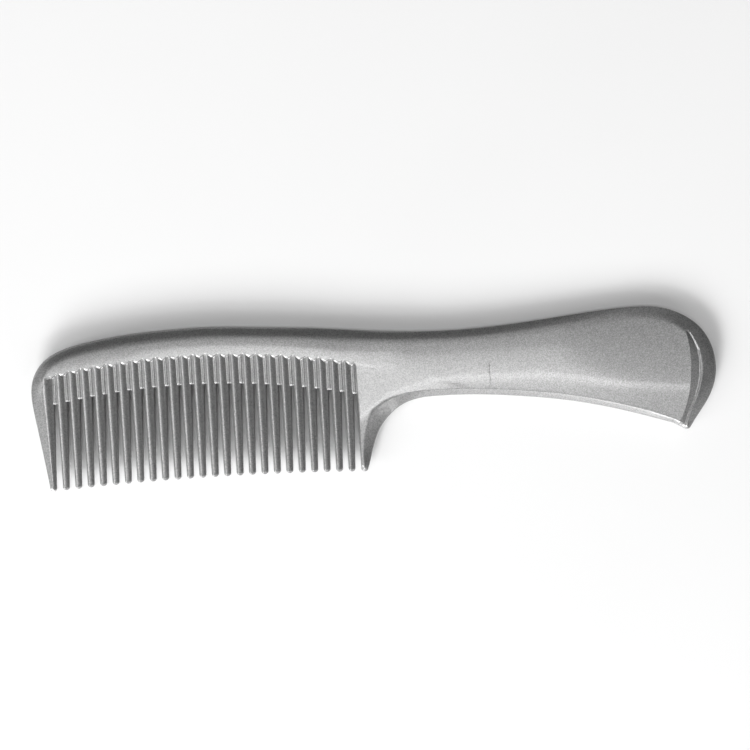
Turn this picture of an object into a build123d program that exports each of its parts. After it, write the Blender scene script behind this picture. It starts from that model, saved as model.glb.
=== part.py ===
from build123d import *
import math
import os

os.makedirs("parts", exist_ok=True)

# ---- driving dimensions, mm -------------------------------------------------
# The comb lies flat. X runs from the front guard tooth to the handle's butt,
# the teeth point along -Y, and Z is the thickness, measured here from the
# mould's parting plane. The finished nodes are moved to the row frame at the end.
HALF_THICK = 3.0        # land to parting plane
EDGE_HALF = 0.5         # half height of the upright rim at the parting line
BEVEL_TOP = 3.3         # height at which the bevel surfaces end, above the land
FOOT_Y = -10.0          # lower end of the blank the long nodes are cut from

FIRST_TOOTH_X = -98.93  # middle of the first plain tooth's tip
TOOTH_PITCH = 3.93
FIRST_TOOTH = 2
LAST_TOOTH = 25
TIP_LEVEL = -21.0       # where the tooth positions are given
TOOTH_LEAN = 0.0176      # sideways drift of a tooth's middle for each mm of Y
TOOTH_HALF = 1.56       # half width at Y = 0
TOOTH_HALF_GROWTH = 0.022
SIDE_HALF = 0.45        # half height of a tooth's upright rim at the parting line
CREST_HALF = 2.0        # half thickness at a tooth's crest, at Y = 0
CREST_GROWTH = 0.05
CREST_FLAT = 0.22       # half width of the flat along the crest
CREST_SHIFT = -0.79      # the crest stands nearer to the tooth's front side
CREST_SHIFT_TIP = -0.49
CREST_STRAIGHT_Y = 5.0  # above this the crest runs parallel to the tooth
SHOULDER_RUN = 0.42     # shoulder between the gentle and the steep part of the rear
SHOULDER_DROP = 0.25    # flank, as shares of the flank's width and height
TIP_ROUND = 1.1         # how far before its end a tooth starts to thin
TIP_THIN = 0.45         # share of the thickness left at the very end
OVERSHOOT = 0.2         # how far sections run past the sides that trim them
TALL = 20.0             # height of the tall solids that divide or trim others

GROOVE_PEAK = (-58.0, 17.9)   # highest point of the line where the grooves start
GROOVE_FALL = 0.00198
ROOT_PEAK = (-59.0, 8.4)      # highest point of the line of gap roots
ROOT_FALL = 0.00218
TIP_PEAK = (-49.5, -21.17)    # highest point of the line of tooth tips
TIP_FALL = 0.000542
WEB_HALF = 1.6                # half thickness of the webs between the teeth

REAR_GUARD_X = -5.85          # inner side of the rear guard tooth, at Y = 0
REAR_GUARD_LEAN = -0.011
FRONT_GUARD_X = -101.15       # inner side of the front guard tooth, at Y = 0
FRONT_GUARD_LEAN = 0.035
NECK_FOOT_Y = -4.0            # where the rear guard tooth leaves the neck
NECK_END_X = 14.0             # where the neck turns into the handle
FRONT_CREST_X = -103.6        # crest of the front guard tooth, at Y = 0 and above
FRONT_CREST_LEAN = -0.023
FRONT_TOP_X = -106.6          # outer side of the front guard tooth's highest section
FRONT_TOP_Y = 16.0
FRONT_TIP_OUTER_X = -104.0
REAR_CREST_HALF = 2.80        # half thickness of the rear guard tooth, at Y = 0
REAR_CREST_GROWTH = 0.075
REAR_INNER_RUN = 0.45         # width of the steep flank on its inner side
REAR_TIP_X = (-3.4, -4.4)     # outer side and bevel's start at the tip
# Sections of the rear guard tooth: (y, outer side, bevel's start, thickness share).
REAR_SIDE_STATIONS = [
    (NECK_FOOT_Y, 5.4, -1.3, 1.0),
    (-8.5, 1.3, -3.0, 1.0),
    (-14.4, -1.3, -4.1, 1.0),
]
REAR_OUTER_SIDE = [
    (5.4, NECK_FOOT_Y),
    (2.8, -6.6),
    (0.5, -10.0),
    (-1.3, -14.4),
    (-2.4, -18.2),
]

# Outer edge at the parting line with the bevel's width there: (x, y, width).
FRONT_BACK_BUTT = [
    (-105.6, -10.0, 2.4),
    (-107.1, -1.5, 3.6),
    (-108.0, 5.0, 4.2),
    (-108.0, 10.5, 4.0),
    (-106.6, 14.8, 3.6),
    (-103.4, 18.7, 3.2),
    (-98.3, 21.5, 2.9),
    (-91.0, 23.4, 2.8),
    (-80.0, 25.0, 2.8),
    (-67.0, 25.9, 2.8),
    (-52.0, 26.1, 2.8),
    (-35.0, 25.1, 2.8),
    (-16.0, 23.6, 2.8),
    (2.0, 21.7, 2.8),
    (16.0, 20.75, 2.8),
    (28.0, 20.6, 2.8),
    (42.0, 21.2, 2.8),
    (58.0, 22.6, 2.8),
    (73.0, 24.0, 2.8),
    (84.5, 24.5, 3.0),
    (92.0, 23.7, 3.4),
    (98.0, 21.3, 4.0),
    (103.0, 17.6, 4.5),
    (106.4, 12.5, 4.8),
    (108.0, 6.0, 4.8),
    (107.5, 0.0, 4.8),
    (105.0, -5.8, 4.7),
    (101.6, -10.6, 4.6),
]
BUTT_CORNER = (98.0, -15.2, 5.6)
BUTT_NOTCH = (93.6, -12.9, 2.2)
GRIP_UNDERSIDE = [
    (85.7, -10.3, 2.2),
    (74.0, -6.8, 2.2),
    (60.0, -3.6, 2.2),
    (45.0, -1.4, 2.2),
    (31.0, -0.1, 2.2),
    (20.0, 0.15, 2.2),
    (14.0, -0.2, 2.5),
    (9.6, -1.4, 3.2),
    (5.8, -3.7, 4.6),
    (2.8, -6.6, 5.4),
    (0.5, -10.0, 5.0),
]

# Ridge of the body: (x, lower side, upper side, fall to the back, fall to the front).
LAND_STATIONS = [
    (14.0, 4.9, 9.0, 0.075, 0.075),
    (25.0, 6.1, 7.5, 0.065, 0.080),
    (38.0, 6.1, 7.3, 0.060, 0.080),
    (52.0, 5.6, 6.8, 0.060, 0.080),
    (66.0, 3.9, 5.1, 0.060, 0.080),
    (80.0, 1.2, 2.4, 0.060, 0.080),
    (94.0, -0.6, 0.6, 0.060, 0.080),
    (114.0, -2.0, -0.8, 0.060, 0.080),
]
NECK_LAND_STATIONS = [
    (-5.0, 6.0, 13.6, 0.110, 0.067),
    (5.0, 3.9, 12.4, 0.090, 0.070),
]
SPINE_STATIONS_X = [-114.0, -98.0, -78.0, -58.0, -40.0, -20.0]
SPINE_LAND = 1.3              # width of the land along the back
SPINE_BACK_FALL = 0.130
SPINE_FRONT_FALL = 0.050
BACK_REACH = 34.0             # the roof's edges, beyond the comb's outline
FRONT_REACH = -30.0
ROOF_RISE = 0.02              # the roof stands this far over the lands before they are cut flat

CRESCENT_INNER = [(98.2, 22.0), (100.3, 5.5), (95.2, -14.0)]
CRESCENT_OUTER = [(99.9, 17.0), (103.2, 4.0), (97.3, -13.2)]
CRESCENT_DEPTH = 0.45
BUTT_LINE = [(97.0, 26.0), (100.3, 5.5), (94.6, -16.0)]   # where the handle meets the butt


# ---- curves -----------------------------------------------------------------
def dome(peak, fall, x):
    return peak[1] - fall * (x - peak[0]) ** 2


def groove_y(x):
    return dome(GROOVE_PEAK, GROOVE_FALL, x)


def root_y(x):
    return dome(ROOT_PEAK, ROOT_FALL, x)


def tip_y(x):
    return dome(TIP_PEAK, TIP_FALL, x)


def rear_guard_x(y):
    return REAR_GUARD_X + REAR_GUARD_LEAN * y


def front_guard_x(y):
    return FRONT_GUARD_X + FRONT_GUARD_LEAN * y


def tooth_x(number, y):
    tip_x = FIRST_TOOTH_X + TOOTH_PITCH * (number - FIRST_TOOTH)
    return tip_x + TOOTH_LEAN * (y - TIP_LEVEL)


def tooth_half(y):
    return TOOTH_HALF + TOOTH_HALF_GROWTH * y


def crest_half(y):
    return CREST_HALF + CREST_GROWTH * y


def crest_shift(y):
    share = min(1.0, (y - TIP_LEVEL) / (CREST_STRAIGHT_Y - TIP_LEVEL))
    return CREST_SHIFT_TIP + (CREST_SHIFT - CREST_SHIFT_TIP) * share


# ---- helpers ----------------------------------------------------------------
def prism(corners, half_height):
    """Upright prism over a polygon, centred on the parting plane."""
    outline = Wire.make_polygon([Vector(x, y, -half_height) for x, y in corners])
    return Solid.extrude(Face(outline), Vector(0, 0, 2 * half_height))


def inset(points, level):
    """Points of an edge moved inwards by their bevel widths, at the given height."""
    moved = []
    last = len(points) - 1
    for index, (x, y, width) in enumerate(points):
        before = points[max(index - 1, 0)]
        after = points[min(index + 1, last)]
        run = math.hypot(after[0] - before[0], after[1] - before[1])
        inward_x = (after[1] - before[1]) / run
        inward_y = -(after[0] - before[0]) / run
        moved.append(Vector(x + width * inward_x, y + width * inward_y, level))
    return moved


def beyond(first, second):
    """Point on the line from first to second, a little past second."""
    (x0, z0), (x1, z1) = first, second
    slope = abs((z1 - z0) / (x1 - x0))
    step = math.copysign(min(OVERSHOOT, 0.6 * z1 / slope), x1 - x0)
    return x1 + step, z1 + (z1 - z0) * step / (x1 - x0)


def section_at_y(y, flank):
    """Upright section at Y from the (x, z) points of its upper half, widened at
    both ends so that the plan shape alone trims the sides."""
    points = [beyond(flank[1], flank[0])] + flank[1:-1] + [beyond(flank[-2], flank[-1])]
    upper = [Vector(x, y, z) for x, z in points]
    lower = [Vector(x, y, -z) for x, z in reversed(points)]
    return Wire.make_polygon(upper + lower)


def ridge_points(left, crest_x, right, y, thin):
    """Upper half of a tooth's section: steep front flank, crest, two-part rear flank."""
    rim = SIDE_HALF * thin
    crest = crest_half(y) * thin
    start = crest_x + CREST_FLAT
    shoulder_x = start + SHOULDER_RUN * (right - start)
    shoulder_z = crest - SHOULDER_DROP * (crest - rim)
    front_flank = [(left, rim), (crest_x - CREST_FLAT, crest)]
    rear_flank = [(start, crest), (shoulder_x, shoulder_z), (right, rim)]
    return front_flank + rear_flank


# ---- the long body ----------------------------------------------------------
def blank_outline(level, widths_scale):
    """Closed outline of the blank; the bevel widths are scaled by widths_scale."""
    start = FRONT_BACK_BUTT[0]
    end = GRIP_UNDERSIDE[-1]
    corner = BUTT_CORNER
    front = [(x, y, w * widths_scale) for x, y, w in FRONT_BACK_BUTT]
    under = [(x, y, w * widths_scale) for x, y, w in GRIP_UNDERSIDE]
    notch = (BUTT_NOTCH[0], BUTT_NOTCH[1], BUTT_NOTCH[2] * widths_scale)

    upper_points = inset(front, level)
    upper_points[0] = Vector(start[0] + start[2] * widths_scale, FOOT_Y, level)
    lower_points = inset([notch] + under, level)
    lower_points[-1] = Vector(end[0] - end[2] * widths_scale, FOOT_Y, level)
    tip_shift = corner[2] * widths_scale
    tip = Vector(corner[0] - 0.80 * tip_shift, corner[1] + 0.80 * tip_shift, level)

    upper = Edge.make_spline(upper_points + [tip])
    lip = Edge.make_line(tip, lower_points[0])
    lower = Edge.make_spline(lower_points)
    foot = Edge.make_line(lower_points[-1], upper_points[0])
    return Wire([upper, lip, lower, foot])


def bevelled_blank():
    rim = Face(blank_outline(-EDGE_HALF, 0.0))
    middle = Solid.extrude(rim, Vector(0, 0, 2 * EDGE_HALF))
    upper = Solid.make_loft([blank_outline(EDGE_HALF, 0.0), blank_outline(BEVEL_TOP, 1.3)], ruled=True)
    lower = Solid.make_loft([blank_outline(-EDGE_HALF, 0.0), blank_outline(-BEVEL_TOP, 1.3)], ruled=True)
    return middle + upper + lower


def land_stations():
    spine = []
    for x in SPINE_STATIONS_X:
        low = groove_y(x) + 0.3
        spine.append((x, low, low + SPINE_LAND, SPINE_BACK_FALL, SPINE_FRONT_FALL))
    return spine + NECK_LAND_STATIONS + LAND_STATIONS


def roof():
    """Shape that is thickest along the lands and falls away gently on both sides."""
    sections = []
    for x, low, high, back_fall, front_fall in land_stations():
        ridge = HALF_THICK + ROOF_RISE
        back = ridge - back_fall * (BACK_REACH - high)
        front = ridge - front_fall * (low - FRONT_REACH)
        upper = [(BACK_REACH, back), (high, ridge), (low, ridge), (FRONT_REACH, front)]
        corners = [Vector(x, y, z) for y, z in upper]
        corners += [Vector(x, y, -z) for y, z in reversed(upper)]
        sections.append(Wire.make_polygon(corners))
    return Solid.make_loft(sections, ruled=False)


def side_of_curve(points, far_x):
    """Tall slab on one side of an upright arc."""
    level = -TALL / 2
    corners = [Vector(x, y, level) for x, y in points]
    arc = Edge.make_three_point_arc(corners[0], corners[1], corners[2])
    top = Vector(far_x, corners[0].Y, level)
    foot = Vector(far_x, corners[2].Y, level)
    sides = [
        Edge.make_line(corners[2], foot),
        Edge.make_line(foot, top),
        Edge.make_line(top, corners[0]),
    ]
    return Solid.extrude(Face(Wire([arc] + sides)), Vector(0, 0, TALL))


def above_grooves():
    """Everything on the back's side of the line where the grooves start."""
    level = -TALL / 2
    line = [Vector(x, groove_y(x), level) for x in range(-120, 5, 12)]
    line.append(Vector(4.0, groove_y(4.0), level))
    high_start = Vector(line[0].X, 60, level)
    high_end = Vector(line[-1].X, 60, level)
    rim = [
        Edge.make_spline(line),
        Edge.make_line(line[-1], high_end),
        Edge.make_line(high_end, high_start),
        Edge.make_line(high_start, line[0]),
    ]
    return Solid.extrude(Face(Wire(rim)), Vector(0, 0, TALL))


def crescent():
    """Pocket between the handle's face and the butt's raised lip, on both faces."""
    pockets = []
    for level, rise in ((HALF_THICK - CRESCENT_DEPTH, 4.0), (CRESCENT_DEPTH - HALF_THICK, -4.0)):
        inner = [Vector(x, y, level) for x, y in CRESCENT_INNER]
        outer = [Vector(x, y, level) for x, y in CRESCENT_OUTER]
        rim = [
            Edge.make_three_point_arc(inner[0], inner[1], inner[2]),
            Edge.make_line(inner[2], outer[2]),
            Edge.make_three_point_arc(outer[2], outer[1], outer[0]),
            Edge.make_line(outer[0], inner[0]),
        ]
        pockets.append(Solid.extrude(Face(Wire(rim)), Vector(0, 0, rise)))
    return pockets


# ---- teeth ------------------------------------------------------------------
def round_ended(left_top, right_top, left_tip, right_tip, end_y):
    """Upright prism with straight sides and a half-round end that touches end_y."""
    level = -TALL / 2
    start_y = end_y + (right_tip - left_tip) / 2
    points = [
        Vector(left_top[0], left_top[1], level),
        Vector(right_top[0], right_top[1], level),
        Vector(right_tip, start_y, level),
        Vector(left_tip, start_y, level),
    ]
    end = Vector((left_tip + right_tip) / 2, end_y, level)
    rim = [
        Edge.make_line(points[0], points[1]),
        Edge.make_line(points[1], points[2]),
        Edge.make_three_point_arc(points[2], end, points[3]),
        Edge.make_line(points[3], points[0]),
    ]
    return Solid.extrude(Face(Wire(rim)), Vector(0, 0, TALL))


def tooth_section(number, y, thin=1.0):
    x = tooth_x(number, y)
    half = tooth_half(y)
    return section_at_y(y, ridge_points(x - half, x + crest_shift(y), x + half, y, thin))


def plain_tooth(number, back_side):
    middle = tooth_x(number, 0)
    top = groove_y(middle) + 1.0
    end = tip_y(middle)
    near_end = end + TIP_ROUND
    sections = [
        tooth_section(number, top + 1.0),
        tooth_section(number, CREST_STRAIGHT_Y),
        tooth_section(number, near_end),
        tooth_section(number, end - OVERSHOOT, TIP_THIN),
    ]
    ridge = Solid.make_loft(sections, ruled=True)
    plan = round_ended(
        (tooth_x(number, top) - tooth_half(top), top),
        (tooth_x(number, top) + tooth_half(top), top),
        tooth_x(number, near_end) - tooth_half(near_end),
        tooth_x(number, near_end) + tooth_half(near_end),
        end,
    )
    return (ridge & plan) - back_side


def guard_plan(outer_side, tip_right, tip_left, end, top_inner):
    """Upright prism between a guard tooth's curved outer side and its straight inner side."""
    level = -TALL / 2
    side = [Vector(x, y, level) for x, y in outer_side]
    right = Vector(tip_right, end + TIP_ROUND, level)
    left = Vector(tip_left, end + TIP_ROUND, level)
    end_middle = Vector((tip_right + tip_left) / 2, end, level)
    inner_tip, outer_tip = (right, left) if side[0].X < tip_right else (left, right)
    inner_top = Vector(top_inner, side[0].Y, level)
    rim = [
        Edge.make_spline(side + [outer_tip]),
        Edge.make_three_point_arc(outer_tip, end_middle, inner_tip),
        Edge.make_line(inner_tip, inner_top),
        Edge.make_line(inner_top, side[0]),
    ]
    return Solid.extrude(Face(Wire(rim)), Vector(0, 0, TALL))


def front_guard(back_side):
    """Outer tooth with a wide bevel along its outer side."""
    end = tip_y(FRONT_CREST_X)
    tip_x = FRONT_TIP_OUTER_X
    outer = [(x, y) for x, y, width in FRONT_BACK_BUTT[:5]][::-1]
    stations = [(y, x, 1.0) for x, y in [(FRONT_TOP_X, FRONT_TOP_Y)] + outer[1:3] + outer[4:]]
    stations += [(end + TIP_ROUND, tip_x, 1.0), (end - OVERSHOOT, tip_x, TIP_THIN)]
    sections = []
    for y, outer_x, thin in stations:
        crest_x = FRONT_CREST_X + FRONT_CREST_LEAN * min(0.0, y)
        points = ridge_points(outer_x, crest_x, front_guard_x(y), y, thin)
        sections.append(section_at_y(y, points))
    ridge = Solid.make_loft(sections, ruled=True)
    plan = guard_plan(outer, front_guard_x(end), tip_x, end, front_guard_x(outer[0][1]))
    return (ridge & plan) - back_side


def rear_guard():
    """Tooth at the neck, with a wide bevel that fans out towards the handle."""
    end = tip_y(REAR_GUARD_X)
    tip_x, tip_bevel = REAR_TIP_X
    stations = REAR_SIDE_STATIONS + [
        (end + TIP_ROUND, tip_x, tip_bevel, 1.0),
        (end - OVERSHOOT, tip_x, tip_bevel, TIP_THIN),
    ]
    sections = []
    for y, outer, bevel, thin in stations:
        crest = (REAR_CREST_HALF + REAR_CREST_GROWTH * y) * thin
        inner = rear_guard_x(y)
        points = [
            (inner, SIDE_HALF * thin),
            (inner + REAR_INNER_RUN, crest),
            (bevel, crest),
            (outer, EDGE_HALF * thin),
        ]
        sections.append(section_at_y(y, points))
    ridge = Solid.make_loft(sections, ruled=True)
    return ridge & guard_plan(REAR_OUTER_SIDE, tip_x, rear_guard_x(end), end, rear_guard_x(NECK_FOOT_Y))


def web_cell(number, before, after, back_side):
    """Wall between two neighbouring teeth, from the gap's root up to the back."""
    middle = tooth_x(number, 0) - TOOTH_PITCH / 2
    low = root_y(middle)
    high = groove_y(middle) + 1.0

    def left(y):
        if number == FIRST_TOOTH:
            return front_guard_x(y) - 1.0
        return tooth_x(number - 1, y)

    def right(y):
        if number > LAST_TOOTH:
            return rear_guard_x(y)
        return tooth_x(number, y)

    corners = [(left(low), low), (right(low), low), (right(high), high), (left(high), high)]
    return prism(corners, WEB_HALF) - back_side - before - after


# ---- nodes ------------------------------------------------------------------
def as_one(shape):
    solids = shape.solids()
    if len(solids) != 1:
        raise ValueError(f"expected one solid, found {len(solids)}")
    return solids[0]


def build_nodes():
    between_lands = Box(300, 100, 2 * HALF_THICK)
    body = bevelled_blank() & roof() & between_lands
    back_side = above_grooves()
    far = 120.0
    high = 40.0
    neck_zone = prism([
        (rear_guard_x(high), high),
        (NECK_END_X, high),
        (NECK_END_X, NECK_FOOT_Y),
        (rear_guard_x(NECK_FOOT_Y), NECK_FOOT_Y),
    ], 10)
    behind_neck = prism([(NECK_END_X, high), (far, high), (far, -high), (NECK_END_X, -high)], 10)
    before_neck = prism([(-far, high), (rear_guard_x(high), high), (rear_guard_x(0), 0), (-far, 0)], 10)
    butt_side = side_of_curve(BUTT_LINE, far)

    nodes = {}
    nodes["spine_back"] = as_one(body & before_neck & back_side)
    nodes["neck"] = as_one(body & neck_zone)
    nodes["handle_grip"] = as_one((body & behind_neck) - butt_side)
    butt = body & butt_side
    for pocket in crescent():
        butt = butt - pocket
    nodes["butt_lip"] = as_one(butt)
    nodes["front_guard_tooth"] = as_one(front_guard(back_side))
    nodes["rear_guard_tooth"] = as_one(rear_guard())
    for number in range(FIRST_TOOTH, LAST_TOOTH + 1):
        nodes[f"tooth_{number:02d}"] = as_one(plain_tooth(number, back_side))
    row = [nodes["front_guard_tooth"]]
    row += [nodes[f"tooth_{number:02d}"] for number in range(FIRST_TOOTH, LAST_TOOTH + 1)]
    row.append(nodes["neck"])
    webs = []
    for index, number in enumerate(range(FIRST_TOOTH, LAST_TOOTH + 2)):
        webs.append(as_one(web_cell(number, row[index], row[index + 1], back_side)))
    nodes["tooth_web"] = Compound(webs)
    return nodes


def main():
    nodes = build_nodes()
    boxes = [node.bounding_box() for node in nodes.values()]
    middle_x = (min(b.min.X for b in boxes) + max(b.max.X for b in boxes)) / 2
    middle_y = (min(b.min.Y for b in boxes) + max(b.max.Y for b in boxes)) / 2
    lowest = min(b.min.Z for b in boxes)
    for name, node in nodes.items():
        placed = node.moved(Location((-middle_x, -middle_y, -lowest)))
        export_step(placed, f"parts/{name}.step")


main()
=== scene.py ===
import math

import bpy
import numpy as np
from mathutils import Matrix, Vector
from mathutils.geometry import delaunay_2d_cdt


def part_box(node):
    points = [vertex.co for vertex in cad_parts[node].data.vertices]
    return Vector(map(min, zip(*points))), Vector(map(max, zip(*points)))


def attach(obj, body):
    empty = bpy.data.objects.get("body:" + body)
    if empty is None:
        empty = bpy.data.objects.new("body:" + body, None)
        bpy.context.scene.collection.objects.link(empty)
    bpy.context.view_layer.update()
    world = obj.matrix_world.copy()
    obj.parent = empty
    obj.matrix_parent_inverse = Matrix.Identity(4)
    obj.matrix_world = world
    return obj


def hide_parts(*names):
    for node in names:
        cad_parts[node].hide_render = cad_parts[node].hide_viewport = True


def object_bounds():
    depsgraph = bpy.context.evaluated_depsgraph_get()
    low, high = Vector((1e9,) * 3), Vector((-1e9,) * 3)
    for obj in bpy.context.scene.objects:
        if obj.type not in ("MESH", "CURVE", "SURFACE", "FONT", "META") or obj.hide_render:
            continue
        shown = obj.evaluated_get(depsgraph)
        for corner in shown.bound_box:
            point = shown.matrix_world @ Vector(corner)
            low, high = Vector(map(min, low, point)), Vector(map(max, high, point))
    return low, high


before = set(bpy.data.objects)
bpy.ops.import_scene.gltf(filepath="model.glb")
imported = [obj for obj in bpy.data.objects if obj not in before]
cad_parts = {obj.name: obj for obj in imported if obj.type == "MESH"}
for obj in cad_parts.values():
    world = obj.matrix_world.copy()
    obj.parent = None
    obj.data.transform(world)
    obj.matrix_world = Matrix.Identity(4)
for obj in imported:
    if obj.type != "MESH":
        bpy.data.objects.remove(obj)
CAD_LOW, CAD_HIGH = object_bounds()

# ---- dimensions, mm, in the comb's own plan ----------------------------------
# X runs from the front guard tooth to the butt, the teeth point along -Y and Z is
# measured from the parting plane. NECK_END_X and NECK_FOOT_Y are edges of the
# node "neck", and tie this plan to the row frame.
NECK_END_X = 14.0
NECK_FOOT_Y = -4.0
HALF_THICK = 3.0
RIM = 0.38                      # half height of the upright rim at the parting line
BODY = "root"

GROOVE_PEAK = (-58.0, 17.9, 0.00198)
ROOT_PEAK = (-59.0, 8.4, 0.00218)
TIP_PEAK = (-49.5, -21.17, 0.000542)

FIRST_TOOTH = 2
LAST_TOOTH = 25
TOOTH_PITCH = 3.93
FIRST_TOOTH_X = -98.93
TIP_LEVEL = -21.0
TOOTH_LEAN = 0.0176
CREST_FALL = 0.055              # fall of the tooth crests away from the back
RAMP = 1.4                      # length of the slope where a groove runs out at its top

TOOTH_HALF = (1.56, 0.022)      # half width of a tooth at Y = 0, growth along Y
CREST_SHIFT = (-0.49, -0.0115)  # crest's place beside the tooth's middle: at the tips, growth along Y
WEB_ZONE_Y = 2.0                # above this Y the teeth follow the webs' shape
WEB_MIDDLE_Y = 5.0

REAR_LINE = (-5.85, -0.011)     # inner side of the rear guard tooth: X at Y = 0, lean
FRONT_LINE = (-101.15, 0.035)   # inner side of the front guard tooth
FRONT_CREST_X = -103.6

# Edge at the parting line: (x, y, bevel's width, share of a quarter round in the bevel)
EDGE_UPPER = [
    (-104.0, -21.2, 1.0, 0.1),
    (-104.75, -16.0, 1.6, 0.1),
    (-105.65, -10.0, 2.4, 0.1),
    (-107.0, -1.5, 3.5, 0.1),
    (-107.95, 5.0, 4.1, 0.1),
    (-108.0, 10.5, 4.0, 0.2),
    (-106.6, 14.8, 3.6, 0.35),
    (-103.4, 18.7, 3.2, 0.5),
    (-98.3, 21.5, 3.0, 0.6),
    (-91.0, 23.4, 3.0, 0.6),
    (-80.0, 25.0, 3.0, 0.6),
    (-67.0, 25.9, 3.0, 0.6),
    (-52.0, 26.1, 3.0, 0.6),
    (-35.0, 25.1, 3.0, 0.6),
    (-16.0, 23.6, 3.0, 0.6),
    (2.0, 21.7, 3.0, 0.6),
    (16.0, 20.75, 3.0, 0.6),
    (28.0, 20.6, 3.1, 0.6),
    (42.0, 21.2, 3.2, 0.6),
    (58.0, 22.6, 3.3, 0.6),
    (73.0, 24.0, 3.2, 0.5),
    (84.5, 24.5, 3.0, 0.4),
    (92.0, 23.7, 3.3, 0.3),
    (98.0, 21.3, 3.9, 0.3),
    (103.0, 17.6, 4.2, 0.4),
    (106.4, 12.5, 4.5, 0.5),
    (108.0, 6.0, 4.7, 0.5),
    (107.5, 0.0, 4.6, 0.4),
    (105.0, -5.8, 3.9, 0.3),
    (101.6, -10.6, 2.9, 0.3),
    (99.3, -13.9, 1.7, 0.4),
    (98.5, -14.9, 1.3, 0.5),
    (97.8, -15.15, 1.1, 0.5),
    (97.0, -14.8, 1.0, 0.5),
]
EDGE_LIP = [(97.0, -14.8, 1.0, 0.5), (93.6, -12.9, 1.2, 0.3)]
EDGE_LOWER = [
    (93.6, -12.9, 1.2, 0.3),
    (85.7, -10.3, 1.7, 0.2),
    (74.0, -6.8, 1.7, 0.2),
    (60.0, -3.6, 1.7, 0.2),
    (45.0, -1.4, 1.7, 0.2),
    (31.0, -0.1, 1.7, 0.2),
    (20.0, 0.15, 1.8, 0.2),
    (14.0, -0.2, 2.0, 0.2),
    (9.6, -1.4, 2.7, 0.2),
    (5.8, -3.7, 4.1, 0.1),
    (2.8, -6.6, 5.1, 0.0),
    (0.5, -10.0, 3.9, 0.0),
    (-1.3, -14.4, 3.0, 0.0),
    (-2.4, -18.2, 2.2, 0.0),
    (-3.4, -21.3, 1.0, 0.0),
]

# Ridge of the face: (x, lower side, upper side, fall to the back, crown, fall to the front)
STATIONS = np.array([
    (-12.0, 13.6, 14.6, 0.030, 0.0170, 0.055),
    (-5.0, -5.0, 13.6, 0.035, 0.0120, 0.090),
    (5.0, 2.0, 11.6, 0.035, 0.0065, 0.085),
    (14.0, 4.7, 8.0, 0.035, 0.0045, 0.080),
    (25.0, 6.2, 7.2, 0.035, 0.0040, 0.085),
    (38.0, 6.2, 7.0, 0.035, 0.0038, 0.085),
    (52.0, 5.7, 6.5, 0.035, 0.0034, 0.085),
    (60.0, 5.0, 5.8, 0.035, 0.0030, 0.085),
    (70.0, 2.8, 3.6, 0.035, 0.0026, 0.085),
    (80.0, 0.9, 1.7, 0.035, 0.0022, 0.085),
    (94.0, -0.8, 0.0, 0.035, 0.0020, 0.085),
    (112.0, -2.4, -1.6, 0.035, 0.0020, 0.085),
])
NECK_STEP = 0.06                # the neck's middle lies this far under the end of the back's ridge
NECK_STEP_RUN = 3.5

# Crescent at the butt: X of its inner edge and of the lip's crest for each Y
CRESCENT_Y = np.array([-15.0, -13.4, -11.3, -9.8, -6.3, -2.4, 1.5, 5.6, 9.5, 12.5, 14.8, 17.0])
CRESCENT_INNER_X = np.array([94.2, 95.0, 96.1, 96.7, 98.0, 98.9, 99.4, 99.8, 99.8, 99.5, 99.1, 98.6])
LIP_X = np.array([96.9, 97.5, 98.1, 98.7, 100.5, 102.1, 103.1, 103.3, 102.9, 101.8, 100.6, 98.9])
CRESCENT_DEPTH = 0.55
LIP_HEIGHT = 0.40
LIP_SHARE = 0.80                # where the groove ends and the lip starts to rise
CREASE_SOFT = 0.30              # rounding between the face and the bevel
CREASE_SOFT_BUTT = 0.15
BUTT_FROM_X = 95.0
FLANK_POWER = 1.35              # shape of the front guard tooth's flank
REAR_FLANK = (0.2, 4.2)         # rear guard tooth's flank: foot's height, slope
BUTT_LINE = [(97.0, 26.0), (100.3, 5.5), (94.6, -16.0)]

WITNESS_X = 36.3                # faint raised witness line across the handle
WITNESS_Y = (1.2, 9.6)
WITNESS_RISE = 0.05
WITNESS_WIDTH = 0.18
WITNESS_STEPS = (-0.4, -0.28, -0.18, -0.1, -0.04, 0.04, 0.12, 0.25, 0.45, 0.7, 1.0)


# ---- curves --------------------------------------------------------------------
def dome(peak, x):
    return peak[1] - peak[2] * (x - peak[0]) ** 2


def groove_y(x):
    return dome(GROOVE_PEAK, x)


def line_x(line, y):
    return line[0] + line[1] * y


def smoothstep(t):
    t = np.clip(t, 0.0, 1.0)
    return t * t * (3.0 - 2.0 * t)


def soft_over(t, soft):
    """max(t, 0) with a rounded corner."""
    return soft * np.logaddexp(0.0, t / soft)


def smooth_min(a, b, k):
    gap = np.maximum(k - np.abs(a - b), 0.0) / k
    return np.minimum(a, b) - gap * gap * k * 0.25


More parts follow.
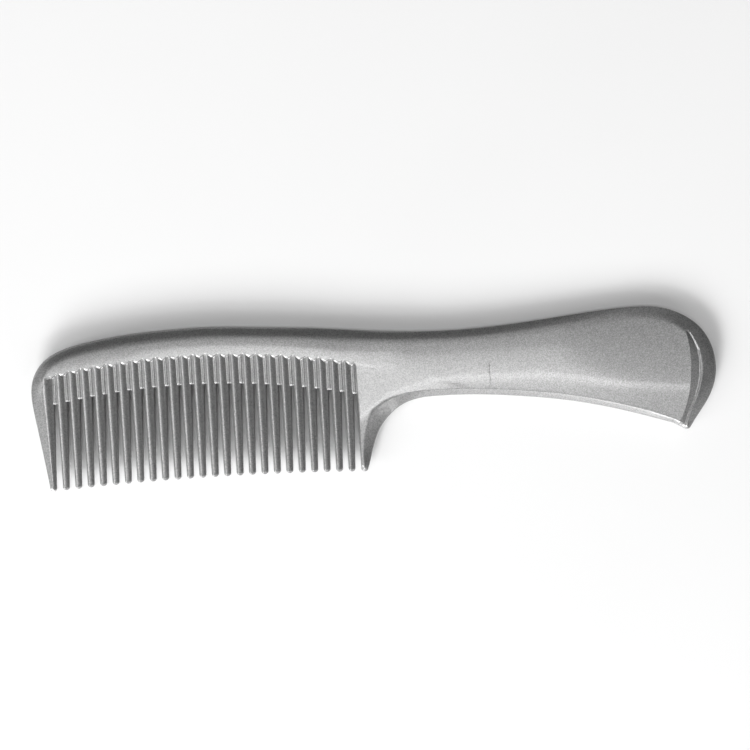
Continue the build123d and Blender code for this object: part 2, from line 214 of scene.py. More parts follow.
def spline(points, step, even=True):
    """Dense points on a smooth curve through the given points; even keeps the widths smooth too."""
    p = np.array(points, float)
    if len(p) == 2:
        count = max(2, int(np.hypot(*(p[1] - p[0])[:2]) / step))
        t = np.linspace(0, 1, count + 1)[:, None]
        return p[0] * (1 - t) + p[1] * t
    knots = np.concatenate([[0], np.cumsum(np.hypot(*np.diff(p[:, :2], axis=0).T))])
    count = len(p)
    gaps = np.diff(knots)
    system = np.zeros((count, count))
    right = np.zeros((count, p.shape[1]))
    system[0, :3] = (1 / gaps[0], -1 / gaps[0] - 1 / gaps[1], 1 / gaps[1])
    system[-1, -3:] = (1 / gaps[-2], -1 / gaps[-2] - 1 / gaps[-1], 1 / gaps[-1])
    for i in range(1, count - 1):
        system[i, i - 1:i + 2] = (gaps[i - 1], 2 * (gaps[i - 1] + gaps[i]), gaps[i])
        rise = (p[i + 1] - p[i]) / gaps[i] - (p[i] - p[i - 1]) / gaps[i - 1]
        right[i] = 6 * rise
    bend = np.linalg.solve(system, right)
    t = np.linspace(0, knots[-1], int(knots[-1] / step) + 1)
    i = np.clip(np.searchsorted(knots, t, side="right") - 1, 0, count - 2)
    g = gaps[i][:, None]
    a = ((knots[i + 1] - t))[:, None]
    b = ((t - knots[i]))[:, None]
    curve = (bend[i] * a ** 3 + bend[i + 1] * b ** 3) / (6 * g)
    curve += (p[i] / g - bend[i] * g / 6) * a + (p[i + 1] / g - bend[i + 1] * g / 6) * b
    if not even:
        curve[:, 2] = np.interp(t, knots, p[:, 2])
    return curve


def half_round(start, middle_y, end, width, share, count=14):
    """Half-round end from start to end that reaches middle_y."""
    t = np.linspace(0, math.pi, count)
    centre = (start[0] + end[0]) / 2
    radius = (start[0] - end[0]) / 2
    depth = start[1] - middle_y
    columns = [centre + radius * np.cos(t), start[1] - depth * np.sin(t)]
    return np.stack(columns + [np.full(count, width), np.full(count, share)], 1)


STEP = 0.45
tip_front = dome(TIP_PEAK, -103.0)
tip_rear = dome(TIP_PEAK, -4.5)
front_end = (line_x(FRONT_LINE, -21.2), -21.2)
rear_end = (line_x(REAR_LINE, -21.3), -21.3)
FRONT_ARC = half_round(front_end, tip_front, (-104.0, -21.2), 1.0, 0.1)
REAR_ARC = half_round((-3.4, -21.3), tip_rear, rear_end, 1.0, 0.0)
OUTLINE = np.concatenate([
    FRONT_ARC[:-1],
    spline(EDGE_UPPER, STEP)[:-1],
    spline(EDGE_LIP, STEP)[:-1],
    spline(EDGE_LOWER, STEP, False)[:-1],
    REAR_ARC,
])


def distance(x, y, path):
    """Distance to a path, and the path's further columns at the nearest point."""
    a = path[:-1, :2]
    run = path[1:, :2] - a
    length2 = np.maximum((run ** 2).sum(1), 1e-12)
    best = np.empty(len(x))
    value = np.empty((len(x), path.shape[1] - 2))
    for start in range(0, len(x), 4000):
        s = slice(start, start + 4000)
        dx = x[s, None] - a[None, :, 0]
        dy = y[s, None] - a[None, :, 1]
        t = np.clip((dx * run[:, 0] + dy * run[:, 1]) / length2, 0, 1)
        d2 = (dx - t * run[:, 0]) ** 2 + (dy - t * run[:, 1]) ** 2
        k = d2.argmin(1)
        rows = np.arange(len(k))
        best[s] = np.sqrt(d2[rows, k])
        tk = t[rows, k][:, None]
        value[s] = path[k, 2:] * (1 - tk) + path[k + 1, 2:] * tk
    return best, value.T


# ---- shape of the faces ----------------------------------------------------------
def face_height(x, y):
    """Half thickness of the face, before bevels, grooves and flanks."""
    low, high, back, crown, front = [np.interp(x, STATIONS[:, 0], STATIONS[:, i]) for i in range(1, 6)]
    on_spine = smoothstep((-5.0 - x) / 7.0)
    low = low * (1 - on_spine) + (groove_y(x) + 0.3) * on_spine
    high = high * (1 - on_spine) + (groove_y(x) + 1.1) * on_spine
    soft = 0.9 - 0.5 * on_spine
    over = soft_over(y - high, soft)
    under = soft_over(low - y, soft)
    step = NECK_STEP * smoothstep((x + 9.0) / 4.0) * smoothstep((12.0 - x) / 12.0)
    step = step * smoothstep((high - y) / NECK_STEP_RUN)
    return HALF_THICK - back * over - crown * over ** 2 - front * under - step


def crest_height(x, y):
    return HALF_THICK - 0.03 - CREST_FALL * np.maximum(groove_y(x) + 0.3 - y, 0.0)


def ramp_share(x, y):
    """1 on the back, 0 in the grooves, with a slope between them."""
    return 1.0 - smoothstep((groove_y(x) - y) / RAMP)


def crescent_drop(x, y):
    """How far the crescent groove lies under the face, with the lip at its outer side."""
    inner = np.interp(y, CRESCENT_Y, CRESCENT_INNER_X)
    crest = np.interp(y, CRESCENT_Y, LIP_X)
    from_inner = x - inner
    t = np.clip(from_inner / (crest - inner), 0.0, 1.0)
    groove = np.where(t < LIP_SHARE, t / LIP_SHARE, 1.0)
    lip = smoothstep((t - LIP_SHARE) / (1.0 - LIP_SHARE))
    ends = smoothstep((16.2 - y) / 1.6) * smoothstep((y + 15.8) / 2.2)
    drop = CRESCENT_DEPTH * groove - LIP_HEIGHT * lip
    return np.where(from_inner > 0, drop * ends, 0.0)


def guard_flank(x, y, face, crest):
    """Flanks of the guard teeth on the side of the gaps."""
    from_front = np.maximum(line_x(FRONT_LINE, y) - x, 0.0)
    reach = np.maximum(line_x(FRONT_LINE, y) - FRONT_CREST_X + 0.02 * y, 0.8)
    s = np.clip(1.0 - from_front / reach, 0.0, 1.0)
    front_flank = crest * np.sqrt(np.maximum(1.0 - s ** FLANK_POWER, 0.0))
    from_rear = np.maximum(x - line_x(REAR_LINE, y), 0.0)
    rear_flank = REAR_FLANK[0] + REAR_FLANK[1] * from_rear
    return np.where(x < -50, front_flank, smooth_min(face, rear_flank, 0.5))


def witness(x, y):
    """Share of the faint witness line, which wanders a little."""
    wander = 0.10 * np.sin(1.7 * y) + 0.05 * np.sin(4.3 * y + 1.0)
    away = x - WITNESS_X - wander
    line = np.exp(-(away / WITNESS_WIDTH) ** 2) * (0.75 + 0.25 * np.sin(3.1 * y))
    return line * smoothstep((y - WITNESS_Y[0]) / 0.6) * smoothstep((WITNESS_Y[1] - y) / 0.6)


def body_height(x, y):
    """Half thickness of the comb's body at each point, with bevels, crescent and flanks."""
    x = np.asarray(x, float)
    y = np.asarray(y, float)
    to_edge, (width, share_round) = distance(x, y, OUTLINE)
    face = face_height(x, y)
    face = np.where(x > 90, face - crescent_drop(x, y), face)
    in_guard = (x < line_x(FRONT_LINE, y) + 0.5) & (y < groove_y(x))
    crest = crest_height(x, y)
    face = np.where(in_guard, np.minimum(face, crest + 0.03), face)
    t = to_edge / width
    rounded = np.sqrt(np.maximum(1.0 - np.maximum(1.0 - t, 0.0) ** 2, 0.0))
    bevel = RIM + (face - RIM) * (t + (rounded - t) * share_round)
    height = smooth_min(face, bevel, np.where(x > BUTT_FROM_X, CREASE_SOFT_BUTT, CREASE_SOFT))

    flank = guard_flank(x, y, face, crest)
    share = ramp_share(x, y)
    cut = smooth_min(height, flank, 0.10)
    height = np.where(y < groove_y(x), cut * (1 - share) + height * share, height)
    return np.maximum(height + WITNESS_RISE * witness(x, y), 0.02)


def surface_normals(height, x, y):
    e = 0.012
    h = height(x, y)
    slope_x = (height(x + e, y) - height(x - e, y)) / (2 * e)
    slope_y = (height(x, y + e) - height(x, y - e)) / (2 * e)
    n = np.stack([-slope_x, -slope_y, np.ones_like(h)], 1)
    return h, n / np.linalg.norm(n, axis=1)[:, None]


# ---- mesh making -----------------------------------------------------------------
NECK_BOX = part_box("neck")
SHIFT = np.array([
    NECK_BOX[1][0] * 1000 - NECK_END_X,
    NECK_BOX[0][1] * 1000 - NECK_FOOT_Y,
    (CAD_LOW[2] + CAD_HIGH[2]) * 500,
])
plastic_pieces = []


def add_piece(name, verts, faces, normals, nodes):
    """Mesh piece from comb-plan millimetres, with one normal for each face corner."""
    mesh = bpy.data.meshes.new(name)
    mesh.from_pydata(((np.asarray(verts) + SHIFT) / 1000).tolist(), [], faces)
    mesh.update()
    mesh.shade_smooth()
    mesh.normals_split_custom_set(normals)
    piece = bpy.data.objects.new(name, mesh)
    bpy.context.scene.collection.objects.link(piece)
    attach(piece, BODY)
    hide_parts(*nodes)
    plastic_pieces.append(piece)
    return piece


def inside(points, polygon):
    """Which points lie inside a polygon."""
    x, y = points[:, 0], points[:, 1]
    hit = np.zeros(len(points), bool)
    ax, ay = polygon[:, 0], polygon[:, 1]
    bx, by = np.roll(ax, -1), np.roll(ay, -1)
    for i in range(len(polygon)):
        crosses = (ay[i] > y) != (by[i] > y)
        if crosses.any():
            at = ax[i] + (y - ay[i]) * (bx[i] - ax[i]) / (by[i] - ay[i] + 1e-15)
            hit ^= crosses & (x < at)
    return hit


RING_SHARES = (0.06, 0.2, 0.4, 0.6, 0.75, 0.85, 0.92, 0.98, 1.03, 1.09, 1.16, 1.26, 1.42, 1.65, 1.95)


def ring_points():
    """Rows of points that follow the outline, close together at the bevel's crease."""
    run = np.gradient(OUTLINE[:, :2], axis=0)
    length = np.linalg.norm(run, axis=1)[:, None]
    inward = np.stack([run[:, 1], -run[:, 0]], 1) / length
    rows = []
    for share in RING_SHARES:
        rows.append(OUTLINE[:, :2] + inward * OUTLINE[:, 2:3] * share)
    points = np.concatenate(rows)
    shares = np.repeat(RING_SHARES, len(OUTLINE))
    widths = np.tile(OUTLINE[:, 2], len(RING_SHARES))
    away, _ = distance(points[:, 0], points[:, 1], OUTLINE)
    return points[away > 0.93 * shares * widths]


def crescent_points():
    y = np.arange(-15.0, 17.0, 0.4)
    inner = np.interp(y, CRESCENT_Y, CRESCENT_INNER_X)
    crest = np.interp(y, CRESCENT_Y, LIP_X)
    rows = [np.stack([inner + step, y], 1) for step in (-0.5, -0.2, -0.04, 0.04, 0.2)]
    for share in (0.25, 0.5, 0.74, 0.81, 0.85, 0.9, 0.95, 1.0, 1.06, 1.14, 1.25):
        rows.append(np.stack([inner + (crest - inner) * share, y], 1))
    return np.concatenate(rows)


def witness_points():
    y = np.arange(0.6, 10.4, 0.3)
    rows = [np.stack([np.full_like(y, WITNESS_X + step), y], 1) for step in WITNESS_STEPS]
    return np.concatenate(rows)


def flank_points():
    rows = []
    y = np.arange(-22.0, 14.5, 0.5)
    for step in (0.05, 0.15, 0.3, 0.5, 0.75, 1.0, 1.3, 1.7, 2.1, 2.4, 2.6, 2.8):
        rows.append(np.stack([line_x(FRONT_LINE, y) - step, y], 1))
        if step < 1.8:
            rows.append(np.stack([line_x(REAR_LINE, y) + step, y], 1))
    for step in (0.15, 0.4, 0.65, 0.9, 1.15, 1.4, 1.7):
        x = np.arange(-107.5, -99.5, 0.4)
        rows.append(np.stack([x, groove_y(x) - step], 1))
        x = np.arange(-6.0, 1.0, 0.4)
        rows.append(np.stack([x, groove_y(x) - step], 1))
    return np.concatenate(rows)


def grid_points(polygon, spacing):
    low, high = polygon.min(0), polygon.max(0)
    xs = np.arange(low[0], high[0], spacing)
    ys = np.arange(low[1], high[1], spacing)
    gx, gy = np.meshgrid(xs, ys)
    gx = gx + (np.arange(len(ys)) % 2)[:, None] * spacing / 2
    return np.stack([gx.ravel(), gy.ravel()], 1)


RINGS = ring_points()
DETAIL = np.concatenate([crescent_points(), witness_points(), flank_points()])


def thin_out(points, kept, gap):
    """Drops points that lie closer than gap to a kept one, cell by cell."""
    cells = {}
    for px, py in kept:
        cells.setdefault((int(px // gap), int(py // gap)), []).append((px, py))
    out = []
    for px, py in points:
        cx, cy = int(px // gap), int(py // gap)
        near = False
        for ix in (cx - 1, cx, cx + 1):
            for iy in (cy - 1, cy, cy + 1):
                for qx, qy in cells.get((ix, iy), ()):
                    if (px - qx) ** 2 + (py - qy) ** 2 < gap * gap:
                        near = True
        if not near:
            out.append((px, py))
            cells.setdefault((cx, cy), []).append((px, py))
    return out


def plate(name, polygon, nodes, grid=0.8):
    """Closed piece over a polygon: both faces follow body_height, mirrored."""
    polygon = np.asarray(polygon)[:, :2]
    step = np.linalg.norm(polygon - np.roll(polygon, 1, 0), axis=1)
    polygon = polygon[step > 0.02]
    low, high = polygon.min(0), polygon.max(0)
    points = []
    for source, gap in ((RINGS, 0.10), (DETAIL, 0.10), (grid_points(polygon, grid), grid * 0.55)):
        box = ((source > low) & (source < high)).all(1)
        source = source[box]
        source = source[inside(source, polygon)]
        closed = np.concatenate([polygon, polygon[:1]])
        away, _ = distance(source[:, 0], source[:, 1], flat(closed))
        source = source[away > 0.045]
        points += thin_out(source.tolist(), points, gap)
    count = len(polygon)
    plan = polygon.tolist() + points
    border = [(i, (i + 1) % count) for i in range(count)]
    verts, _, faces, _, _, _ = delaunay_2d_cdt([tuple(p) for p in plan], border, [], 1, 1e-6)
    xy = np.array([tuple(v) for v in verts])
    h, normal = surface_normals(body_height, xy[:, 0], xy[:, 1])
    total = len(xy)
    top = np.column_stack([xy, h])
    bottom = np.column_stack([xy, -h])
    edges = {}
    oriented = []
    for face in faces:
        a, b, c = (xy[i] for i in face[:3])
        turn = (b[0] - a[0]) * (c[1] - a[1]) - (b[1] - a[1]) * (c[0] - a[0])
        face = list(face) if turn > 0 else list(face)[::-1]
        oriented.append(face)
        for i, v in enumerate(face):
            edges[(v, face[(i + 1) % len(face)])] = True
    all_faces = []
    corner_normals = []
    for face in oriented:
        all_faces.append(face)
        corner_normals += [tuple(normal[i]) for i in face]
    for face in oriented:
        all_faces.append([i + total for i in reversed(face)])
        corner_normals += [(normal[i][0], normal[i][1], -normal[i][2]) for i in reversed(face)]
    for a, b in edges:
        if (b, a) in edges:
            continue
        side = xy[b] - xy[a]
        out = (side[1], -side[0], 0.0)
        size = math.hypot(out[0], out[1])
        all_faces.append([b, a, a + total, b + total])
        corner_normals += [(out[0] / size, out[1] / size, 0.0)] * 4
    return add_piece(name, np.concatenate([top, bottom]), all_faces, corner_normals, nodes)


def crossing(path, side, first=0):
    """Index and point where side(x, y) first changes sign along a path."""
    values = side(path[:, 0], path[:, 1])
    for i in range(first, len(path) - 1):
        if (values[i] > 0) != (values[i + 1] > 0):
            t = values[i] / (values[i] - values[i + 1])
            return i, path[i] * (1 - t) + path[i + 1] * t
    raise ValueError("the path doesn't cross")


def stretch(start, end):
    """Outline from one crossing to another."""
    return np.concatenate([[start[1]], OUTLINE[start[0] + 1:end[0] + 1], [end[1]]])


def flat(points):
    return np.column_stack([points, np.zeros((len(points), 2))])


def straight(a, b, step=0.45):
    count = max(2, int(math.dist(a[:2], b[:2]) / step))
    t = np.linspace(0, 1, count + 1)[1:-1, None]
    return flat(np.array(a[:2]) * (1 - t) + np.array(b[:2]) * t)


def groove_line(x0, x1, step=0.4):
    count = max(2, int(abs(x1 - x0) / step))
    x = np.linspace(x0, x1, count + 1)
    return flat(np.column_stack([x, groove_y(x)]))


def arc_through(a, b, c, count=90):
    """Points of the circle through three points, from a to c."""
    (ax, ay), (bx, by), (cx, cy) = a, b, c
    d = 2 * (ax * (by - cy) + bx * (cy - ay) + cx * (ay - by))
    ux = ((ax**2 + ay**2) * (by - cy) + (bx**2 + by**2) * (cy - ay) + (cx**2 + cy**2) * (ay - by)) / d
    uy = ((ax**2 + ay**2) * (cx - bx) + (bx**2 + by**2) * (ax - cx) + (cx**2 + cy**2) * (bx - ax)) / d
    start = math.atan2(ay - uy, ax - ux)
    end = math.atan2(cy - uy, cx - ux)
    t = np.linspace(start, end, count)
    r = math.hypot(ax - ux, ay - uy)
    return (ux, uy, r), flat(np.column_stack([ux + r * np.cos(t), uy + r * np.sin(t)]))


CORNER_X = -5.98                # the grooves' line meets the rear guard tooth about here
FRONT_CORNER_X = -100.6         # and the front guard tooth about here


def build_plates():
    """Back, neck, handle, butt and both guard teeth, cut from the outline at shared lines."""
    begin = len(FRONT_ARC)
    left = crossing(OUTLINE, lambda x, y: y - groove_y(x), begin)
    top_rear = crossing(OUTLINE, lambda x, y: x - line_x(REAR_LINE, y), left[0] + 5)
    top_grip = crossing(OUTLINE, lambda x, y: x - NECK_END_X, top_rear[0])
    (ux, uy, r), arc = arc_through(*BUTT_LINE)
    beyond = lambda x, y: np.hypot(x - ux, y - uy) - r
    top_butt = crossing(OUTLINE, beyond, top_grip[0])
    low_butt = crossing(OUTLINE, beyond, top_butt[0] + 2)
    low_grip = crossing(OUTLINE, lambda x, y: x - NECK_END_X, low_butt[0])
    foot = crossing(OUTLINE, lambda x, y: y - NECK_FOOT_Y, low_grip[0])
    arc = arc[(arc[:, 1] < top_butt[1][1] - 0.2) & (arc[:, 1] > low_butt[1][1] + 0.2)]

    corner_x = line_x(REAR_LINE, groove_y(CORNER_X))
    corner = (corner_x, groove_y(corner_x))
    front_x = line_x(FRONT_LINE, groove_y(FRONT_CORNER_X))
    neck_foot = (line_x(REAR_LINE, NECK_FOOT_Y), NECK_FOOT_Y)
    start_x = left[1][0]

    plate("spine_back", np.concatenate([
        stretch(left, top_rear),
        straight(top_rear[1], corner),
        groove_line(corner_x, start_x)[:-1],
    ]), ["spine_back"])
    plate("neck", np.concatenate([
        stretch(top_rear, top_grip),
        straight(top_grip[1], low_grip[1]),
        stretch(low_grip, foot),
        straight(foot[1], neck_foot),
        flat(np.array([neck_foot])),
        straight(neck_foot, corner),
        flat(np.array([corner])),
        straight(corner, top_rear[1]),
    ]), ["neck"])
    plate("handle_grip", np.concatenate([
        stretch(top_grip, top_butt),
        arc,
        stretch(low_butt, low_grip),
        straight(low_grip[1], top_grip[1]),
    ]), ["handle_grip"])
    plate("butt_lip", np.concatenate([stretch(top_butt, low_butt), arc[::-1]]), ["butt_lip"], 0.6)
    plate("front_guard_tooth", np.concatenate([
        OUTLINE[:left[0] + 1],
        groove_line(start_x, front_x),
        straight((front_x, groove_y(front_x)), front_end),
    ]), ["front_guard_tooth"], 0.6)
    rear_start = foot[0] + 1
    plate("rear_guard_tooth", np.concatenate([
        [foot[1]],
        OUTLINE[rear_start:],
        straight(rear_end, neck_foot),
        flat(np.array([neck_foot])),
        straight(neck_foot, foot[1]),
    ]), ["rear_guard_tooth"], 0.6)


# ---- teeth -------------------------------------------------------------------------
RING_HALF = 28                  # points on each half of a tooth's section
CREST_POWER = 1.45              # under 2 the crest is a ridge, at 2 it is round
SIDE_POWER = 2.0
VALLEY_DEPTH = 1.0              # web's valley under the neighbouring crests
VALLEY_FROM_CREST = 1.85
BEAD_RISE = 0.30                # low bead along each web, beside the valley's corner
BEAD_OFFSET = 0.75
BEAD_WIDTH = 0.40
VALLEY_SOFT = 0.12
WEB_ROUND = 0.7                 # rounding of the web's lower edge
HOOK_DROP = 1.0                 # the groove's top is this much lower at the valley
HOOK_REACH = 1.5
HOOK_RAMP = 0.4


def tooth_middle(number, y):
    return FIRST_TOOTH_X + TOOTH_PITCH * (number - FIRST_TOOTH) + TOOTH_LEAN * (y - TIP_LEVEL)


def tooth_half(y):
    return TOOTH_HALF[0] + TOOTH_HALF[1] * y


def crest_shift(y):
    """The crest stands nearer to the tooth's front side."""
    return CREST_SHIFT[0] + CREST_SHIFT[1] * (y - TIP_LEVEL)


def section_height(x, y):
    """Height of a tooth's own section at x from its middle."""
    half = tooth_half(y)
    shift = crest_shift(y)
    reach = np.where(x > shift, half - shift, half + shift)
    share = np.clip(np.abs(x - shift) / reach, 0.0, 1.0)
    return np.maximum(1.0 - share ** CREST_POWER, 0.0) ** (1 / SIDE_POWER)


def valley_x(y, number):
    """X of the corner at the bottom of the valley before a tooth."""
    if number == FIRST_TOOTH:
        return line_x(FRONT_LINE, y) - 0.35
    return tooth_middle(number - 1, y) + crest_shift(y) + VALLEY_FROM_CREST


def valley_height(x, y, number):
    """Valley of the web before a tooth, with its rounded lower edge."""
    valley = valley_x(y, number)
    low = dome(ROOT_PEAK, tooth_middle(number, WEB_MIDDLE_Y) - TOOTH_PITCH / 2)
    drop = np.clip((low + WEB_ROUND - y) / WEB_ROUND, 0.0, 1.0)
    bead = BEAD_RISE * np.exp(-((x - valley - BEAD_OFFSET) / BEAD_WIDTH) ** 2)
    z = crest_height(x, y) - VALLEY_DEPTH + bead - 3.0 * np.maximum(valley - x, 0.0)
    return np.where(y < low, -9.0, z - WEB_ROUND * (1 - np.sqrt(1 - drop ** 2)))


def comb_height(x, y, number):
    """Height at the web before a tooth: both neighbouring teeth and the valley between them."""
    crest = crest_height(x, y)
    own = section_height(x - tooth_middle(number, y), y) * crest
    before = section_height(x - tooth_middle(number - 1, y), y) * crest
    if number == FIRST_TOOTH:
        before = np.zeros_like(own)
    if number > LAST_TOOTH:
        own = np.zeros_like(own)
    top = np.maximum(own, before)
    z = -smooth_min(-top, -valley_height(x, y, number), VALLEY_SOFT)
    hook = np.clip(1.0 - np.abs(x - valley_x(y, number)) / HOOK_REACH, 0.0, 1.0)
    share = 1.0 - smoothstep((groove_y(x) - HOOK_DROP * hook - y) / HOOK_RAMP)
    return z * (1 - share) + (face_height(x, y) - 0.005) * share


def grid_normals(grid):
    """Normals of a closed tube of points [row, around, xyz]."""
    around = np.roll(grid, -1, 1) - np.roll(grid, 1, 1)
    along = np.gradient(grid, axis=0)
    n = np.cross(along, around)
    size = np.linalg.norm(n, axis=2, keepdims=True)
    return n / np.maximum(size, 1e-12)


def tube_faces(rows, around):
    faces = []
    for j in range(rows - 1):
        for i in range(around):
            k = (i + 1) % around
            quad = [j * around + i, j * around + k, (j + 1) * around + k, (j + 1) * around + i]
            faces.append(quad)
    return faces


def tooth(number):
    """One plain tooth: rings from the groove's top down to a half-round tip."""
    middle = tooth_middle(number, 0.0)
    top = float(groove_y(middle))
    end = float(dome(TIP_PEAK, middle))
    radius = float(tooth_half(end + 1.1))
    near = end + radius
    root = float(dome(ROOT_PEAK, middle))
    upper = top - np.array([0, 0.12, 0.3, 0.5, 0.7, 0.9, 1.1, 1.3, 1.5, 1.8])
    web = np.linspace(top - 2.3, root + 1.6, 14)
    turn = np.linspace(root + 1.4, root - 1.4, 29)
    shaft = np.concatenate([web, turn, np.linspace(root - 1.9, near, 34)])
    round_t = np.linspace(0, math.pi / 2, 10)[1:-1]
    cap = near - radius * np.sin(round_t)
    rows = np.concatenate([upper, shaft, cap])
    scale = np.concatenate([np.ones(len(upper) + len(shaft)), np.cos(round_t)])
    t = np.linspace(0, math.pi, RING_HALF + 1)
    cos, sin = np.cos(t), np.sin(t)
    ring = []
    for y, s in zip(rows, scale):
        y_shape = max(y, near)
        half = tooth_half(y_shape)
        shift = crest_shift(y_shape)
        reach = np.where(cos > 0, half - shift, half + shift)
        x = shift + reach * np.sign(cos) * np.abs(cos) ** (2 / CREST_POWER)
        x = tooth_middle(number, y) + x * s
        z = crest_height(middle, y_shape) * np.abs(sin) ** (2 / SIDE_POWER) * s
        y_at = y + (groove_y(x) - top) * smoothstep((y - 3.0) / 8.0)
        if y > WEB_ZONE_Y:
            on_right = comb_height(x, y_at, number + 1)
            on_left = comb_height(x, y_at, number)
            z = np.where(x > tooth_middle(number, y) + shift, on_right, on_left)
        half_ring = np.column_stack([x, y_at, np.maximum(z, 0.0)])
        ring.append(np.concatenate([half_ring, half_ring[-2:0:-1] * (1, 1, -1)]))
    grid = np.array(ring)
    count = grid.shape[1]
    grid_n = grid_normals(grid)
    tip = np.array([tooth_middle(number, end), end, 0.0])
    verts = np.concatenate([grid.reshape(-1, 3), [tip], [grid[0].mean(0)]])
    faces = tube_faces(len(rows), count)
    flat_n = grid_n.reshape(-1, 3)
    if np.dot(flat_n[RING_HALF // 2], (0, 0, 1)) < 0:
        flat_n = -flat_n
    normals = [tuple(flat_n[v]) for face in faces for v in face]
    last = (len(rows) - 1) * count
    tip_index, top_index = len(verts) - 2, len(verts) - 1
    for i in range(count):
        k = (i + 1) % count
        faces.append([last + i, last + k, tip_index])
        normals += [tuple(flat_n[last + i]), tuple(flat_n[last + k]), (0.0, -1.0, 0.0)]
        faces.append([k, i, top_index])
        normals += [(0.0, 1.0, 0.0)] * 3
    name = f"tooth_{number:02d}"
    return add_piece(name, verts, faces, normals, [name])


# ---- webs --------------------------------------------------------------------------
def web_cell(number):
    """Top half of one web as a grid [row, across, xyz]."""
    low_mid = tooth_middle(number, WEB_MIDDLE_Y) - TOOTH_PITCH / 2
    low = float(dome(ROOT_PEAK, low_mid))
    top = float(groove_y(low_mid))
    round_t = np.linspace(math.pi / 2, 0, 8)[:-1]
    ends = low + 1e-4 + WEB_ROUND * (1 - np.sin(round_t))
    shaft = np.linspace(low + WEB_ROUND, top - 1.6, 12)
    upper = top - np.array([1.4, 1.2, 1.0, 0.8, 0.6, 0.4, 0.2, 0.0])
    grid = []
    for y in np.concatenate([ends, shaft, upper]):
        left = tooth_middle(number - 1, y) + tooth_half(y) - 0.35
        right = tooth_middle(number, y) - tooth_half(y) + 0.35
        if number == FIRST_TOOTH:
            left = line_x(FRONT_LINE, y) - 1.2
        if number > LAST_TOOTH:
            right = line_x(REAR_LINE, y) + 0.3
        x = np.linspace(left, right, 15)
        y_at = y + (groove_y(x) - top) * smoothstep((y - low) / 4.0)
        z = comb_height(x, y_at, number) - 0.012
        grid.append(np.column_stack([x, y_at, z]))
    return np.array(grid)


def webs():
    """All the webs in one piece, one closed cell for each gap."""
    verts, faces, normals = [], [], []
    for number in range(FIRST_TOOTH, LAST_TOOTH + 2):
        grid = web_cell(number)
        rows, count = grid.shape[:2]
        closed = np.concatenate([grid, (grid * (1, 1, -1))[:, ::-1]], axis=1)
        n_top = np.cross(np.gradient(grid, axis=1), np.gradient(grid, axis=0))
        n_top = n_top / np.maximum(np.linalg.norm(n_top, axis=2, keepdims=True), 1e-12)
        n_top = n_top * np.sign(n_top[:, :, 2:3])
        n_all = np.concatenate([n_top, (n_top * (1, 1, -1))[:, ::-1]], axis=1)
        base = sum(len(v) for v in verts)
        around = 2 * count
        for face in tube_faces(rows, around):
            faces.append([v + base for v in face])
            columns = {v % around for v in face}
            side = columns in ({count - 1, count}, {0, around - 1})
            for v in face:
                if side:
                    normals.append((1.0 if count in columns else -1.0, 0.0, 0.0))
                else:
                    normals.append(tuple(n_all.reshape(-1, 3)[v]))
        start = base + (rows - 1) * around
        faces.append([base + i for i in reversed(range(around))])
        normals += [(0.0, -1.0, 0.0)] * around
        faces.append([start + i for i in range(around)])
        normals += [(0.0, 1.0, 0.0)] * around
        verts.append(closed.reshape(-1, 3))
    add_piece("tooth_web", np.concatenate(verts), faces, normals, ["tooth_web"])


build_plates()
for tooth_number in range(FIRST_TOOTH, LAST_TOOTH + 1):
    tooth(tooth_number)
webs()


# ---- material ------------------------------------------------------------------------
PLASTIC_GREY = 0.28
FLAKE_TONE = (0.74, 1.28)
FLOW_TONE = (0.97, 1.03)
GRAIN_TONE = (0.96, 1.04)
ROUGHNESS = (0.36, 0.44)
NOISE_SPAN = (0.3, 0.7)


def texture(nodes, links, kind, scale, where, detail=None):
    node = nodes.new(kind)
    node.inputs["Scale"].default_value = scale
    if detail is not None:
        node.inputs["Detail"].default_value = detail
    links.new(where.outputs["Object"], node.inputs["Vector"])
    return node


def spread(nodes, links, value, reach, span=(0.0, 1.0)):
    """Spreads the values of span over reach."""
    node = nodes.new("ShaderNodeMapRange")
    node.inputs["From Min"].default_value, node.inputs["From Max"].default_value = span
    node.inputs["To Min"].default_value, node.inputs["To Max"].default_value = reach
    links.new(value, node.inputs["Value"])
    return node.outputs["Result"]


def product(nodes, links, a, b):
    node = nodes.new("ShaderNodeMath")
    node.operation = "MULTIPLY"
    links.new(a, node.inputs[0])
    links.new(b, node.inputs[1])
    return node.outputs["Value"]


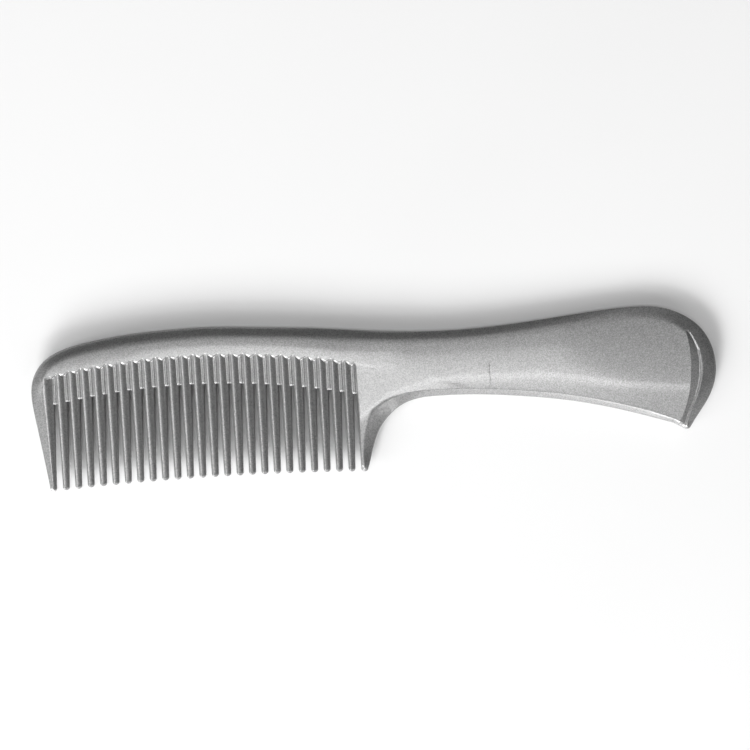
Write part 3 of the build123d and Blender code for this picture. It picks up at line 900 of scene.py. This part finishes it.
def plastic_material():
    """Semi-gloss grey plastic with a fine metallic flake, faint flow marks and an uneven gloss."""
    material = bpy.data.materials.new("flake_plastic")
    material.use_nodes = True
    nodes, links = material.node_tree.nodes, material.node_tree.links
    shader = nodes["Principled BSDF"]
    shader.inputs["Metallic"].default_value = 0.55
    shader.inputs["Coat Weight"].default_value = 0.6
    shader.inputs["Coat Roughness"].default_value = 0.1
    where = nodes.new("ShaderNodeTexCoord")
    flakes = texture(nodes, links, "ShaderNodeTexVoronoi", 4200.0, where)
    grain = texture(nodes, links, "ShaderNodeTexNoise", 1500.0, where, 3.0)
    flow = texture(nodes, links, "ShaderNodeTexNoise", 28.0, where, 4.0)
    flake_value = nodes.new("ShaderNodeSeparateColor")
    links.new(flakes.outputs["Color"], flake_value.inputs["Color"])

    tone = spread(nodes, links, flake_value.outputs["Red"], FLAKE_TONE)
    drift = spread(nodes, links, flow.outputs["Fac"], FLOW_TONE, NOISE_SPAN)
    grain_tone = spread(nodes, links, grain.outputs["Fac"], GRAIN_TONE, NOISE_SPAN)
    shade = product(nodes, links, product(nodes, links, tone, drift), grain_tone)
    colour = nodes.new("ShaderNodeVectorMath")
    colour.operation = "SCALE"
    colour.inputs[0].default_value = (PLASTIC_GREY, PLASTIC_GREY, PLASTIC_GREY)
    links.new(shade, colour.inputs["Scale"])
    links.new(colour.outputs["Vector"], shader.inputs["Base Color"])
    links.new(spread(nodes, links, grain.outputs["Fac"], ROUGHNESS, NOISE_SPAN), shader.inputs["Roughness"])

    bump = nodes.new("ShaderNodeBump")
    bump.inputs["Strength"].default_value = 0.2
    bump.inputs["Distance"].default_value = 0.00002
    links.new(flake_value.outputs["Green"], bump.inputs["Height"])
    links.new(bump.outputs["Normal"], shader.inputs["Normal"])
    return material


PLASTIC = plastic_material()
for piece in plastic_pieces:
    piece.data.materials.append(PLASTIC)


# ---- floor, light and camera ------------------------------------------------------------
FLOOR_TONE = (0.80, 0.83)
FLOOR_SIZE = 6.0
FLOOR_GAP = 0.00002             # the floor lies this far under the rest face, m


def floor_material():
    material = bpy.data.materials.new("pale_table")
    material.use_nodes = True
    nodes, links = material.node_tree.nodes, material.node_tree.links
    shader = nodes["Principled BSDF"]
    shader.inputs["Roughness"].default_value = 0.9
    shader.inputs["Specular IOR Level"].default_value = 0.1
    speck = nodes.new("ShaderNodeTexNoise")
    speck.inputs["Scale"].default_value = 60.0
    links.new(spread(nodes, links, speck.outputs["Fac"], FLOOR_TONE), shader.inputs["Base Color"])
    return material


bpy.ops.mesh.primitive_plane_add(size=FLOOR_SIZE, location=(0, 0, CAD_LOW[2] - FLOOR_GAP))
table_top = bpy.context.object
table_top.name = "table_top"
table_top.data.materials.append(floor_material())

ROLL = math.radians(3.5)        # the comb lies a little turned in the picture


def soft_light(name, azimuth, elevation, width, height, energy):
    """Soft light, its direction in degrees: azimuth 0 is the picture's right, 90 its top."""
    turn = math.radians(azimuth) - ROLL
    rise = math.radians(elevation)
    way = Vector((math.cos(turn) * math.cos(rise), math.sin(turn) * math.cos(rise), math.sin(rise)))
    data = bpy.data.lights.new(name, "AREA")
    data.shape = "RECTANGLE"
    data.size = width
    data.size_y = height
    data.energy = energy
    light = bpy.data.objects.new(name, data)
    bpy.context.scene.collection.objects.link(light)
    light.location = way * LIGHT_DISTANCE
    light.rotation_mode = "QUATERNION"
    light.rotation_quaternion = way.to_track_quat("Z", "Y")


LIGHT_DISTANCE = 2.5
soft_light("key", -105, 20, 0.8, 0.6, 54.0)
soft_light("key_middle", -120, 20, 0.85, 0.85, 30.0)
soft_light("key_left", -150, 20, 0.85, 0.85, 20.0)
soft_light("key_high", -120, 30, 0.6, 0.6, 11.0)
soft_light("right", -45, 20, 0.85, 0.85, 6.0)
soft_light("kicker", -62, 32, 1.0, 0.15, 5.0)
soft_light("left_mid", -135, 42, 0.85, 0.85, 6.0)
soft_light("left_high", 180, 62, 0.85, 0.85, 5.0)
soft_light("back_high", 90, 62, 0.85, 0.85, 2.4)
soft_light("front_strip", -86, 83, 2.2, 0.25, 9.5)
soft_light("overhead", 0, 90, 0.9, 0.9, 12.0)

world = bpy.data.worlds.new("studio")
bpy.context.scene.world = world
world.use_nodes = True
backdrop = world.node_tree.nodes["Background"]
backdrop.inputs["Color"].default_value = (0.9, 0.9, 0.9, 1.0)
path = world.node_tree.nodes.new("ShaderNodeLightPath")
world.node_tree.links.new(path.outputs["Is Camera Ray"], backdrop.inputs["Strength"])

FIELD = 0.2369                  # width seen at the parting plane
LENS = 75.0
SENSOR = 36.0
AIM_PLAN = (0.48, 7.88)         # the picture's middle in the comb's plan, mm
camera_data = bpy.data.cameras.new("camera")
camera_data.lens = LENS
camera_data.sensor_width = SENSOR
camera = bpy.data.objects.new("camera", camera_data)
bpy.context.scene.collection.objects.link(camera)
AIM = (SHIFT[:2] + AIM_PLAN) / 1000
camera.location = (AIM[0], AIM[1], CAD_LOW[2] + HALF_THICK / 1000 + FIELD * LENS / SENSOR)
camera.rotation_euler = (0.0, 0.0, -ROLL)
bpy.context.scene.camera = camera
bpy.context.scene.view_settings.view_transform = "Standard"
bpy.context.scene.view_settings.look = "None"
